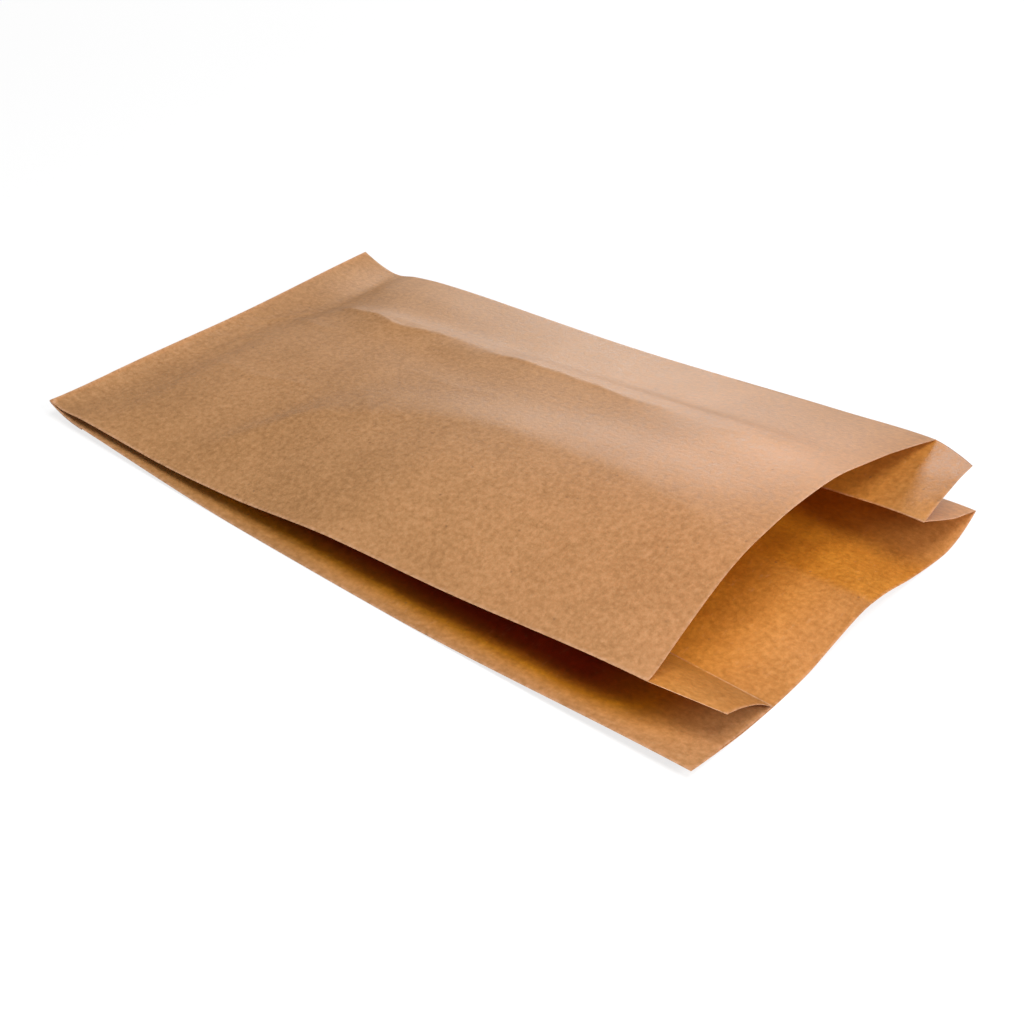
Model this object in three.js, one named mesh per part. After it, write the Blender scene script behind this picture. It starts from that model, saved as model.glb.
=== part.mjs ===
// Kraft paper bread bag with side gussets: one sheet of paper, folded and glued to itself.
// Millimetres. The bag lies on its back panel. X runs from the closed end to the mouth,
// Y from the near side fold to the far one, and Z is up.
// The mouth stands open: the front panel arches up, and both gussets spread.
import * as THREE from 'three';

// Folded size of the bag
const BAG_WIDTH = 180;
const BAG_LENGTH = 322;
const GUSSET_DEPTH = 45;
const LIP = 24;

// The sheet, its glued seam and its glued end
const PAPER = 0.15;
const LAYER_GAP = 0.15;
const SEAM_FROM_CREASE = 14;
const SEAM_OVERLAP = 15;
const SEAL_LENGTH = 2;
const FLAP_LENGTH = 20;
const FLAP_LAYERS = 4;

// How the mouth stands open
const NEAR_FOLD_HEIGHT = 18.5;
const NEAR_FOLD_INSET = 8.5;
const FAR_FOLD_HEIGHT = 25.5;
const FAR_FOLD_OVERHANG = 4.6;
const FAR_CREASE_HEIGHT = 26;
const FAR_CREASE_SHIFT = 3.2;
const FAR_CREASE_RETURN = 4.5;
const ARCH_RISE = 27.6;
const ARCH_LEAN = 0.76;
const ARCH_EASE = 0.05;
const NEAR_SLANT_CUT = 10;
const FAR_SLANT_CUT = 19;
const FAR_TIP_LIFT = 8;
const FAR_SLANT_CURVE = 1.4;
const NEAR_UPPER_BOW = 2.5;
const FAR_UPPER_BOW = 1.4;
const FAR_LOWER_SAG = 1.2;

// How the bag bends where it lies
const END_LIFT = 5.6;
const END_STRIP = 27;
const END_STRIP_CURVE = 1.5;
const TAIL_LIFT = 2;
const TAIL_NEAR_LIFT = 1.4;
const MOUTH_LIFT = 4;
const SIDE_BOW = 2.5;
const LIP_RIDGE_HEIGHT = 8;
const LIP_RIDGE_WIDTH = 30;
const LIP_RIDGE_FROM_SEAM = 18;
const LIP_CURL_HEIGHT = 8.5;
const LIP_CURL_WIDTH = 22;
const LIP_CURL_INSET = 4;
const PRINT_RISE = 1.7;
const PRINT_NEAR_WIDTH = 13;
const PRINT_FAR_WIDTH = 7;
const PRINT_FROM_CREASE = 2.5;
const PRINT_DRIFT = 8;
const CROWN_RISE = 1.1;
const CROWN_WIDTH = 13;
const FRONT_SAG = 1.6;

// Shares of the bag's length at which a bend begins
const TAIL_END = 0.36;
const GUSSET_BOW_START = 0.3;
const MOUTH_LIFT_START = 0.6;
const LIP_RIDGE_START = 0.66;
const LIP_CURL_START = 0.8;
const CREASE_RETURN_START = 0.9;

// Shares of the front panel's length at which its relief begins, is full, fades and is gone
const PRINT_SPAN = [0.06, 0.22, 0.75, 1];
const CROWN_SPAN = [0.2, 0.4, 0.75, 1];
const SAG_SPAN = [0.2, 0.53, 0.5, 1];

// Values that follow from the sizes above
const LAYER = PAPER + LAYER_GAP;
const FOLD_RADIUS = LAYER / 2;
const LIP_START = BAG_LENGTH - LIP;
const FLAP_THICKNESS = FLAP_LAYERS * PAPER;
const GUSSET_SHARE = GUSSET_DEPTH / BAG_WIDTH;
const CREASE_PLACE = BAG_WIDTH - GUSSET_DEPTH;
const SEAM_PLACE = CREASE_PLACE - SEAM_FROM_CREASE;
const LIP_RIDGE_PLACE = SEAM_PLACE - LIP_RIDGE_FROM_SEAM;
const PRINT_PLACE = CREASE_PLACE - PRINT_FROM_CREASE;
const SEAM_INNER_EDGE = SEAM_PLACE / BAG_WIDTH;
const SEAM_OUTER_EDGE = (SEAM_PLACE - SEAM_OVERLAP) / BAG_WIDTH;
const EDGE_STEP = PAPER / BAG_WIDTH;
const END_NOSE = 2 * LAYER;

// How the closed end is bent up from side to side, as [share of width, share of height or of strip]
const END_LIFT_SHARES = [[0, 0.71], [0.25, 0.88], [0.55, 0.75], [1, 1]];
const END_STRIP_SHARES = [[0, 0.52], [0.42, 0.36], [0.55, 0.42], [0.7, 0.76], [0.8, 1], [1, 0.7]];

// Where the front panel's crown runs, as [share of its length, share of its width]
const CROWN_PLACES = [[0.25, 0.12], [0.33, 0.35], [0.45, 0.43], [0.6, 0.46], [0.8, 0.45], [1, 0.36]];

// How the folds rise from the closed end to the mouth, as [share of length, share of height]
const NEAR_FOLD_RISE = [
  [0, 0], [0.06, 0.16], [0.18, 0.17], [0.33, 0.34], [0.5, 0.67], [0.66, 0.78], [0.93, 1],
];
const FAR_FOLD_RISE = [
  [0, 0], [0.065, 0.02], [0.1, 0.13], [0.16, 0.25], [0.27, 0.37], [0.48, 0.51], [0.8, 0.87], [0.93, 1],
];
const FAR_CREASE_RISE = [[0, 0], [0.07, 0.02], [0.19, 0.11], [0.48, 0.32], [0.9, 0.78], [1, 1]];

const mix = (a, b, share) => a + (b - a) * share;
const clamp = value => Math.min(1, Math.max(0, value));
const smooth = value => clamp(value) ** 2 * (3 - 2 * clamp(value));
const bell = (distance, width) => Math.exp(-((distance / width) ** 2));
const pastShare = (x, start) => smooth((x / BAG_LENGTH - start) / (1 - start));
const within = (place, [start, full, fading, gone]) =>
  smooth((place - start) / (full - start)) * (1 - smooth((place - fading) / (gone - fading)));

/** Height of a curve through hand-placed [place, height] points, with no overshoot between them. */
function through(points, place) {
  const steps = points.slice(1).map((p, k) => (p[1] - points[k][1]) / (p[0] - points[k][0]));
  const slopeAt = k => {
    if (k === 0 || k === steps.length || steps[k - 1] * steps[k] <= 0) return 0;
    return (2 * steps[k - 1] * steps[k]) / (steps[k - 1] + steps[k]);
  };
  const next = points.findIndex(p => p[0] >= place);
  if (next === 0) return points[0][1];
  if (next < 0) return points[points.length - 1][1];
  const [[x0, y0], [x1, y1]] = [points[next - 1], points[next]];
  const [w, s] = [x1 - x0, (place - x0) / (x1 - x0)];
  const start = (1 + 2 * s) * (1 - s) ** 2 * y0 + s * (1 - s) ** 2 * w * slopeAt(next - 1);
  return start + s ** 2 * (3 - 2 * s) * y1 - s ** 2 * (1 - s) * w * slopeAt(next);
}

/** How far the whole stack of layers is bent up off the surface at one place. */
function bend(x, y) {
  const side = clamp(y / BAG_WIDTH);
  const strip = END_STRIP * through(END_STRIP_SHARES, side);
  const end = END_LIFT * through(END_LIFT_SHARES, side) * clamp(1 - x / strip) ** END_STRIP_CURVE;
  const nearSide = clamp(1 - y / GUSSET_DEPTH) ** 2;
  const tail = (TAIL_LIFT + TAIL_NEAR_LIFT * nearSide) * (1 - smooth(x / (TAIL_END * BAG_LENGTH)));
  const corner = MOUTH_LIFT * nearSide * pastShare(x, MOUTH_LIFT_START);
  return end + tail + corner;
}

/** How far the back panel alone rises near the mouth: a ridge along its seam and a curled far corner. */
function backRise(x, y) {
  const foot = smooth((y - GUSSET_DEPTH) / LIP_RIDGE_WIDTH);
  const ridge = LIP_RIDGE_HEIGHT * bell(y - LIP_RIDGE_PLACE, LIP_RIDGE_WIDTH) * foot;
  const curl = LIP_CURL_HEIGHT * clamp(1 - (BAG_WIDTH - y - LIP_CURL_INSET) / LIP_CURL_WIDTH) ** 2;
  return ridge * pastShare(x, LIP_RIDGE_START) + curl * pastShare(x, LIP_CURL_START);
}

/**
 * How the front panel stands over the straight line between its two side folds: an arch with a soft
 * crown, and the far gusset's crease pressed through as a ridge that is steeper on its far side.
 */
function frontRise(x, share) {
  const open = clamp(x / LIP_START);
  const arch = ARCH_RISE * open * Math.sin(Math.PI * share ** ARCH_LEAN) * (share / (share + ARCH_EASE));
  const fromPrint = share * BAG_WIDTH - PRINT_PLACE + PRINT_DRIFT * smooth(2 * open - 1);
  const printWidth = fromPrint < 0 ? PRINT_NEAR_WIDTH : PRINT_FAR_WIDTH;
  const print = PRINT_RISE * bell(fromPrint, printWidth) * within(open, PRINT_SPAN);
  const fromCrown = (share - through(CROWN_PLACES, open)) * BAG_WIDTH;
  const crown = CROWN_RISE * bell(fromCrown, CROWN_WIDTH) * within(open, CROWN_SPAN);
  const sag = FRONT_SAG * Math.sin(Math.PI * share) ** 2 * within(open, SAG_SPAN);
  return arch + print + crown - sag;
}

/** The six folds at one station, as [y, height over the bent stack]. */
function foldsAt(x) {
  const u = x / BAG_LENGTH;
  const open = clamp(x / LIP_START);
  const farBottomY = BAG_WIDTH - LIP_CURL_INSET * pastShare(x, LIP_CURL_START);
  const farCreaseIn = FAR_CREASE_SHIFT * open - FAR_CREASE_RETURN * pastShare(x, CREASE_RETURN_START);
  const folds = {
    nearBottom: [-SIDE_BOW * 4 * u * (1 - u), FOLD_RADIUS],
    farBottom: [farBottomY, FOLD_RADIUS + backRise(x, farBottomY)],
    farCrease: [
      CREASE_PLACE + farCreaseIn,
      mix(3 * FOLD_RADIUS, FAR_CREASE_HEIGHT, through(FAR_CREASE_RISE, u)),
    ],
    farTop: [
      BAG_WIDTH + FAR_FOLD_OVERHANG * open,
      mix(5 * FOLD_RADIUS, FAR_FOLD_HEIGHT, through(FAR_FOLD_RISE, u)),
    ],
    nearTop: [
      NEAR_FOLD_INSET * open,
      mix(5 * FOLD_RADIUS, NEAR_FOLD_HEIGHT, through(NEAR_FOLD_RISE, u)),
    ],
    nearCrease: [GUSSET_DEPTH, 3 * FOLD_RADIUS],
  };
  const pastLip = clamp((x - LIP_START) / LIP);
  folds.farTop = toward(folds.farTop, folds.farCrease, FAR_SLANT_CUT * pastLip ** FAR_SLANT_CURVE);
  folds.farTop[1] += FAR_TIP_LIFT * pastLip ** FAR_SLANT_CURVE;
  folds.nearTop = toward(folds.nearTop, folds.nearCrease, NEAR_SLANT_CUT * pastLip);
  return folds;
}

/** The point that lies a distance from one point towards another. */
function toward(from, to, distance) {
  const length = Math.hypot(to[0] - from[0], to[1] - from[1]);
  return [0, 1].map(k => from[k] + ((to[k] - from[k]) * distance) / length);
}

/** The two ends of the panels that meet in a fold, half a layer to each side of it. */
function roundFold(fold, previous, next) {
  const back = toward([0, 0], [previous[0] - fold[0], previous[1] - fold[1]], 1);
  const ahead = toward([0, 0], [next[0] - fold[0], next[1] - fold[1]], 1);
  const middle = toward([0, 0], [back[0] + ahead[0], back[1] + ahead[1]], 1);
  const cosine = middle[0] * back[0] + middle[1] * back[1];
  const sideways = Math.hypot(FOLD_RADIUS, FOLD_RADIUS * Math.sqrt(Math.max(0, 1 - cosine ** 2)));
  const across = [-middle[1], middle[0]];
  const deep = FOLD_RADIUS * cosine;
  const end = sign => [0, 1].map(k => fold[k] + middle[k] * deep + across[k] * sideways * sign);
  return { before: end(1), after: end(-1) };
}

// The folds in order round the bag; each panel runs from one fold to the next
const FOLD_ORDER = ['nearBottom', 'farBottom', 'farCrease', 'farTop', 'nearTop', 'nearCrease'];

// Places of the lengthways mesh lines across a panel, as shares of its width
const GUSSET_LINES = [0.2, 0.5, 0.8];
const BESIDE_CREASE = 0.95;
const SIDE_LINES = [...GUSSET_LINES, BESIDE_CREASE].map(s => s * GUSSET_SHARE);
const FAR_SIDE_LINES = SIDE_LINES.map(s => 1 - s).reverse();
const spread = (from, to, count) =>
  Array.from({ length: count }, (_, k) => mix(from, to, (k + 1) / (count + 1)));
const BACK_MIDDLE_LINES = [
  ...spread(GUSSET_SHARE, SEAM_OUTER_EDGE, 7),
  SEAM_OUTER_EDGE, SEAM_OUTER_EDGE + EDGE_STEP,
  (SEAM_OUTER_EDGE + SEAM_INNER_EDGE) / 2,
  SEAM_INNER_EDGE, SEAM_INNER_EDGE + EDGE_STEP,
  ...spread(SEAM_INNER_EDGE, 1 - GUSSET_SHARE, 3),
];
const PRINT_SHARE = PRINT_PLACE / BAG_WIDTH;
const FRONT_MIDDLE_LINES = [...spread(GUSSET_SHARE, PRINT_SHARE, BACK_MIDDLE_LINES.length - 1), PRINT_SHARE];
const panelLines = middle => [...SIDE_LINES, GUSSET_SHARE, ...middle, 1 - GUSSET_SHARE, ...FAR_SIDE_LINES];
const BACK_LINES = panelLines(BACK_MIDDLE_LINES);
const FRONT_LINES = panelLines(FRONT_MIDDLE_LINES).map(s => 1 - s).reverse();

/** One cross-section: the sheet's middle line once round the bag, each point with its panel's name. */
function sectionAt(x) {
  const folds = foldsAt(x);
  const farEndRise = backRise(x, folds.farBottom[0]);
  const bow = height => share => height * pastShare(x, GUSSET_BOW_START) * Math.sin(Math.PI * share);
  const panels = [
    { name: 'back', lines: BACK_LINES, rise: (share, y) => backRise(x, y) - farEndRise * share },
    { name: 'farLower', lines: GUSSET_LINES, rise: bow(-FAR_LOWER_SAG) },
    { name: 'farUpper', lines: GUSSET_LINES, rise: bow(FAR_UPPER_BOW) },
    { name: 'front', lines: FRONT_LINES, rise: share => frontRise(x, 1 - share) },
    { name: 'nearUpper', lines: GUSSET_LINES, rise: bow(NEAR_UPPER_BOW) },
    { name: 'nearLower', lines: GUSSET_LINES, rise: () => 0 },
  ];
  const around = k => folds[FOLD_ORDER[(k + FOLD_ORDER.length) % FOLD_ORDER.length]];
  const corners = FOLD_ORDER.map((_, k) => roundFold(around(k), around(k - 1), around(k + 1)));
  const points = [];
  const add = (panel, share, y, height) => points.push({ panel, share, y, z: height + bend(x, y) });
  panels.forEach((panel, k) => {
    const [start, end] = [corners[k].after, corners[(k + 1) % corners.length].before];
    add(panel.name, -1, ...around(k));
    add(panel.name, 0, ...start);
    for (const share of panel.lines) {
      const y = mix(start[0], end[0], share);
      add(panel.name, share, y, mix(start[1], end[1], share) + panel.rise(share, y));
    }
    add(panel.name, 1, ...end);
  });
  return points;
}

/** The glued seam: past its edges, the sheet's outer and inner faces lie one paper lower. */
function seamDrop({ panel, share }) {
  if (panel === 'farLower' && share < 0) return { outer: PAPER / 2, inner: PAPER / 2 };
  if (panel !== 'back' || share < 0) return { outer: 0, inner: 0 };
  const past = edge => (share > edge + EDGE_STEP / 2 ? PAPER : 0);
  return { outer: past(SEAM_OUTER_EDGE), inner: past(SEAM_INNER_EDGE) };
}

/** Both faces of the sheet at one station: its middle line moved out and in by half its thickness. */
function facesAt(x) {
  const points = sectionAt(x);
  const isOpen = x > LIP_START;
  const kept = p => !(isOpen && p.panel === 'front');
  const edgeOf = (p, q) => toward([0, 0], [q.z - p.z, p.y - q.y], 1);
  return points.map((p, k) => {
    const before = points[(k + points.length - 1) % points.length];
    const after = points[(k + 1) % points.length];
    const sides = [];
    if (kept(before)) sides.push(edgeOf(before, p));
    if (kept(p)) sides.push(edgeOf(p, after));
    const sum = [0, 1].map(i => sides.reduce((total, side) => total + side[i], 0));
    const normal = toward([0, 0], sum, 1);
    const drop = seamDrop(p);
    const flap = p.panel === 'back' && p.share >= 0 && x <= FLAP_LENGTH ? FLAP_THICKNESS : 0;
    const offset = (distance, down) => [x, p.y + normal[0] * distance, p.z + normal[1] * distance - down];
    return { outer: offset(PAPER / 2, drop.outer + flap), inner: offset(-PAPER / 2, drop.inner) };
  });
}

// Stations along the bag, as [where a stretch ends, steps in it], close together where it bends
const STRETCHES = [
  [SEAL_LENGTH, 1],
  [FLAP_LENGTH, 4],
  [FLAP_LENGTH + PAPER, 1],
  [0.16 * BAG_LENGTH, 4],
  [0.72 * BAG_LENGTH, 12],
  [LIP_START, 7],
  [BAG_LENGTH, 4],
];

/** The x of every cross-section, from the closed end to the mouth. */
function stations() {
  const places = [0];
  for (const [end, steps] of STRETCHES) {
    places.push(...spread(places[places.length - 1], end, steps - 1), end);
  }
  return places;
}

/** The whole bag as one closed shell. */
function bagGeometry() {
  const places = stations();
  const rows = places.map(facesAt);
  const marks = sectionAt(0);
  const count = marks.length;
  const starts = marks.flatMap((p, k) => (p.share < 0 ? [k] : []));
  const [BACK, FAR_LOWER, FAR_UPPER, FRONT, NEAR_UPPER, NEAR_LOWER] = starts;
  const positions = [];
  const indices = [];
  const made = new Map();
  const vertex = (key, point) => {
    if (!made.has(key)) made.set(key, positions.push(...point) / 3 - 1);
    return made.get(key);
  };
  const outer = (i, j) => vertex(`outer ${i} ${j % count}`, rows[i][j % count].outer);
  const inner = (i, j) => vertex(`inner ${i} ${j % count}`, rows[i][j % count].inner);
  const triangle = (a, b, c) => {
    if (a !== b && b !== c && c !== a) indices.push(a, b, c);
  };
  const quad = (a, b, c, d) => {
    triangle(a, b, c);
    triangle(a, c, d);
  };
  const run = (from, to) => {
    const step = Math.sign(to - from);
    return Array.from({ length: Math.abs(to - from) + 1 }, (_, k) => from + k * step);
  };
  const lipRow = places.findIndex(x => x > LIP_START - PAPER);
  const lastRow = places.length - 1;
  const inFront = column => column >= FRONT && column < NEAR_UPPER;

  // Outer and inner faces of the sheet, from the glued end to the mouth
  for (let i = 1; i < lastRow; i++) {
    for (let j = 0; j < count; j++) {
      if (i >= lipRow && inFront(j)) continue;
      quad(outer(i, j), outer(i, j + 1), outer(i + 1, j + 1), outer(i + 1, j));
      quad(inner(i, j), inner(i + 1, j), inner(i + 1, j + 1), inner(i, j + 1));
    }
  }

  // Cut edges of the sheet round the mouth
  for (let j = 0; j < count; j++) {
    const row = inFront(j) ? lipRow : lastRow;
    quad(outer(row, j), outer(row, j + 1), inner(row, j + 1), inner(row, j));
  }
  for (let i = lipRow; i < lastRow; i++) {
    quad(outer(i + 1, FRONT), outer(i, FRONT), inner(i, FRONT), inner(i + 1, FRONT));
    quad(outer(i, NEAR_UPPER), outer(i + 1, NEAR_UPPER), inner(i + 1, NEAR_UPPER), inner(i, NEAR_UPPER));
  }

  // Glued end: the pressed stack of layers, closed by a rounded nose at the end fold
  const stack = [...run(BACK, FAR_LOWER), ...run(FRONT, NEAR_UPPER)];
  const half = FAR_LOWER - BACK;
  const nose = place => {
    const k = place <= half ? place : 2 * half + 1 - place;
    const [below, above] = [rows[0][BACK + k].outer, rows[0][NEAR_UPPER - k].outer];
    return vertex(`nose ${k}`, [-END_NOSE, (below[1] + above[1]) / 2, (below[2] + above[2]) / 2]);
  };
  stack.forEach((column, k) => {
    const next = (k + 1) % stack.length;
    quad(outer(0, column), outer(0, stack[next]), outer(1, stack[next]), outer(1, column));
    quad(nose(k), nose(next), outer(0, stack[next]), outer(0, column));
  });

  // Where the layers part: the bottoms of the hollow and of the two gusset pockets
  const wall = (face, lower, upper) => {
    for (let k = 0; k < lower.length - 1; k++) {
      quad(face(1, lower[k]), face(1, lower[k + 1]), face(1, upper[k + 1]), face(1, upper[k]));
    }
  };
  const size = FAR_UPPER - FAR_LOWER;
  wall(outer, run(count, NEAR_LOWER), run(NEAR_UPPER, NEAR_LOWER));
  wall(outer, run(FAR_UPPER, FAR_LOWER), run(FAR_UPPER, FRONT));
  wall(inner, run(BACK, BACK + size), run(count, NEAR_LOWER));
  wall(inner, run(NEAR_UPPER, NEAR_LOWER), run(NEAR_UPPER, NEAR_UPPER - size));
  wall(inner, run(BACK + size, FAR_LOWER - size), run(NEAR_UPPER - size, FRONT + size));
  wall(inner, run(FAR_LOWER - size, FAR_LOWER), run(FAR_UPPER, FAR_LOWER));
  wall(inner, run(FAR_UPPER, FRONT), run(FRONT + size, FRONT));
  triangle(inner(1, NEAR_LOWER), inner(1, BACK + size), inner(1, NEAR_UPPER - size));
  triangle(inner(1, FAR_LOWER - size), inner(1, FAR_UPPER), inner(1, FRONT + size));
  return { positions, indices };
}

const shell = bagGeometry();
const geometry = new THREE.BufferGeometry();
geometry.setAttribute('position', new THREE.Float32BufferAttribute(shell.positions, 3));
geometry.setIndex(shell.indices);
geometry.computeBoundingBox();
const box = geometry.boundingBox;
const paper = new THREE.MeshStandardMaterial({ color: 0xc2905f, roughness: 0.85, metalness: 0 });
const bag = new THREE.Mesh(geometry, paper);
bag.name = 'bag';
bag.position.set(-(box.min.x + box.max.x) / 2, -(box.min.y + box.max.y) / 2, -box.min.z);

const group = new THREE.Group();
group.add(bag);
export default group;
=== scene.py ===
"""Kraft paper bread bag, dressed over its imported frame.

The bag is one sheet of paper, so it is one piece. Its shape repeats the CAD source's folds at a finer
pitch, and adds the creases, soft ridges and dents that paper keeps from handling. Lengths are
millimetres until the mesh is written, then metres, in the frame of the CAD.
"""
import math

import bpy
import numpy as np
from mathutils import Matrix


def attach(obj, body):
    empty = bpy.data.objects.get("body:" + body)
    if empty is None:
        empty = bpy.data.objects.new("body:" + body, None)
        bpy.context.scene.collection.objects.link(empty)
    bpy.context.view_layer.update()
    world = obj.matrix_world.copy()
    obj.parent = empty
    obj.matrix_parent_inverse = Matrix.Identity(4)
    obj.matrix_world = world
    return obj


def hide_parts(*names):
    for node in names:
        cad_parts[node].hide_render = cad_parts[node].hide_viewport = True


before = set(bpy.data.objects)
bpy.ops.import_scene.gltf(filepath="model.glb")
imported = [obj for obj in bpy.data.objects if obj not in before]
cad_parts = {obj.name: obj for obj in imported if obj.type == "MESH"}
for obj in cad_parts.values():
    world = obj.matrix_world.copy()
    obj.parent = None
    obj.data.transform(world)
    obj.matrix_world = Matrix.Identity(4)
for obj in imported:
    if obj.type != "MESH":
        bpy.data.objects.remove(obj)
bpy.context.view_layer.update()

# The camera, at the photo's viewing angle: its place in metres, its angles in radians
CAMERA_PLACE = (0.36874, -0.41045, 0.36206)
CAMERA_PITCH = 0.606841
CAMERA_AZIMUTH = math.radians(41.2225)
CAMERA_LENS = 59.303
SENSOR_WIDTH = 36
CLIP_START = 0.01

# The bag's folds, as in the CAD source
BAG_WIDTH = 180
BAG_LENGTH = 322
GUSSET_DEPTH = 45
LIP = 24
PAPER = 0.15
LAYER_GAP = 0.15
SEAM_FROM_CREASE = 14
SEAM_OVERLAP = 15
SEAL_LENGTH = 2
FLAP_LENGTH = 20
FLAP_LAYERS = 4
NEAR_FOLD_HEIGHT = 18.5
NEAR_FOLD_INSET = 8.5
FAR_FOLD_HEIGHT = 25.5
FAR_FOLD_OVERHANG = 4.6
FAR_CREASE_HEIGHT = 26
FAR_CREASE_SHIFT = 3.2
FAR_CREASE_RETURN = 4.5
ARCH_RISE = 27.6
ARCH_LEAN = 0.76
ARCH_EASE = 0.05
NEAR_SLANT_CUT = 10
FAR_SLANT_CUT = 19
FAR_TIP_LIFT = 8
FAR_SLANT_CURVE = 1.4
NEAR_UPPER_BOW = 2.5
FAR_UPPER_BOW = 1.4
FAR_LOWER_SAG = 1.2
END_LIFT = 5.6
END_STRIP = 27
END_STRIP_CURVE = 1.5
TAIL_LIFT = 2
TAIL_NEAR_LIFT = 1.4
MOUTH_LIFT = 4
SIDE_BOW = 2.5
LIP_RIDGE_HEIGHT = 8
LIP_RIDGE_WIDTH = 30
LIP_RIDGE_FROM_SEAM = 18
LIP_CURL_HEIGHT = 8.5
LIP_CURL_WIDTH = 22
LIP_CURL_INSET = 4
FRONT_SAG = 1.6
PRINT_RISE = 1.7
PRINT_NEAR_WIDTH = 13
PRINT_FAR_WIDTH = 7
PRINT_FROM_CREASE = 2.5
PRINT_DRIFT = 8
CROWN_RISE = 1.1
CROWN_WIDTH = 13

# Shares of the length where a form starts or ends, and spans where one swells up and fades out
TAIL_END = 0.36
GUSSET_BOW_START = 0.3
MOUTH_LIFT_START = 0.6
LIP_RIDGE_START = 0.66
LIP_CURL_START = 0.8
CREASE_RETURN_START = 0.9
PRINT_SPAN = (0.06, 0.22, 0.75, 1)
CROWN_SPAN = (0.2, 0.4, 0.75, 1)
SAG_SPAN = (0.2, 0.53, 0.5, 1)

# Curves through (place, value) points, both as shares
END_LIFT_SHARES = ((0, 0.71), (0.25, 0.88), (0.55, 0.75), (1, 1))
CROWN_PLACES = ((0.25, 0.12), (0.33, 0.35), (0.45, 0.43), (0.6, 0.46), (0.8, 0.45), (1, 0.36))
NEAR_FOLD_RISE = ((0, 0), (0.06, 0.16), (0.18, 0.17), (0.33, 0.34), (0.5, 0.67), (0.66, 0.78), (0.93, 1))
FAR_FOLD_RISE = (
    (0, 0), (0.065, 0.02), (0.1, 0.13), (0.16, 0.25), (0.27, 0.37), (0.48, 0.51), (0.8, 0.87), (0.93, 1),
)
FAR_CREASE_RISE = ((0, 0), (0.07, 0.02), (0.19, 0.11), (0.48, 0.32), (0.9, 0.78), (1, 1))

# Lengths and shares that follow
LAYER = PAPER + LAYER_GAP
FOLD_RADIUS = LAYER / 2
CREASE_LEVEL = 3 * FOLD_RADIUS
TOP_LEVEL = 5 * FOLD_RADIUS
LIP_START = BAG_LENGTH - LIP
GUSSET_SHARE = GUSSET_DEPTH / BAG_WIDTH
CREASE_PLACE = BAG_WIDTH - GUSSET_DEPTH
SEAM_PLACE = CREASE_PLACE - SEAM_FROM_CREASE
LIP_RIDGE_PLACE = SEAM_PLACE - LIP_RIDGE_FROM_SEAM
PRINT_PLACE = CREASE_PLACE - PRINT_FROM_CREASE
SEAM_INNER_EDGE = SEAM_PLACE / BAG_WIDTH
SEAM_OUTER_EDGE = (SEAM_PLACE - SEAM_OVERLAP) / BAG_WIDTH
EDGE_STEP = PAPER / BAG_WIDTH
END_NOSE = 2 * LAYER

# The strip at the closed end is softer than in the CAD source: its border, as (share of the bag's width,
# share of the strip's length), and its bend on the near side, which gives way to the other over a span
END_STRIP_SHARES = ((0, 0.7), (0.42, 0.6), (0.55, 0.5), (0.7, 0.76), (0.8, 1), (1, 0.7))
END_STRIP_NEAR_CURVE = 2.2
END_STRIP_CURVE_SPAN = (0.4, 0.65)

# Creases that run along the front panel, as (x, y, height)
LONG_CREASES = (
    ((33, 131.5, 0), (38, 133, 0.9), (46, 132, 1), (57, 132.5, 0.9), (67, 129, 1.1), (73, 129, 0.8),
     (80, 130.5, 0.9), (92, 133, 0.6), (103, 134, 0.2), (118, 132, 0.1), (128, 131, 0.6), (139, 132, 1),
     (150, 131, 0.9), (160, 131, 1), (170, 129.5, 0.8), (181, 129, 0.9), (199, 126, 0.5), (212, 126, 0.3),
     (230, 125, 0)),
    ((236, 121, 0), (246, 123, 0.45), (254, 124.5, 0.35), (263, 125, 0.4), (270, 127, 0)),
    ((14, 112, 0), (24, 116, 0.4), (40, 113, 0.35), (52, 116, 0)),
    ((20, 62, 0), (34, 66, 0.3), (50, 64, 0.25), (70, 70, 0.3), (84, 69, 0)),
    ((96, 101, 0), (112, 104, 0.12), (130, 101, 0.15), (146, 104, 0.1), (160, 102, 0)),
)
LONG_CREASE_WIDTH = 3.2

# Creases that run across the front panel, as (y, x, height)
CROSS_CREASES = (
    ((58, 9, 0), (66, 7, 0.5), (74, 8, 0.6), (82, 7, 0.6), (89, 9, 0.35), (97, 9, 0.6), (104, 12, 0)),
    ((70, 15, 0), (78, 17, 0.45), (86, 16, 0.4), (93, 21, 0.35), (99, 23, 0)),
    ((26, 6, 0), (33, 5, 0.4), (40, 8, 0.3), (46, 9, 0)),
    ((96, 4, 0), (104, 9, 0.5), (112, 14, 0.6), (125, 21, 0.7), (136, 23, 0.6), (146, 30, 0.5),
     (156, 27, 0)),
    ((52, 126, 0), (60, 124, 0.25), (70, 113, 0.3), (78, 104, 0.2), (84, 101, 0)),
)
CROSS_CREASE_WIDTH = 2.2
CREASE_SCALE = 1.2

# Soft ridges along the front panel: width of the near flank, width of the far flank, (x, y, height)
SOFT_RIDGES = (
    (24, 9, ((55, 8, 0), (75, 20, 0.6), (84, 34, 1), (92, 47, 1.2), (99, 56, 1.2), (111, 61, 1.1),
             (134, 71, 0.9), (155, 77, 0.9), (178, 78, 1), (238, 74, 1.1), (273, 64, 0.8), (298, 58, 0.5))),
    (15, 13, ((45, 131, 0), (70, 130, 0.7), (100, 130, 1.1), (150, 128, 1.5), (200, 124, 1.6),
              (240, 119, 1.3), (298, 112, 0.7))),
)

# The shoulder where the front panel swells up past the strip, and the x span over which it fades
SHOULDER_RISE = 0.9
SHOULDER_WIDTH = 13
SHOULDER_SPAN = (20, 150)

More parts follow.
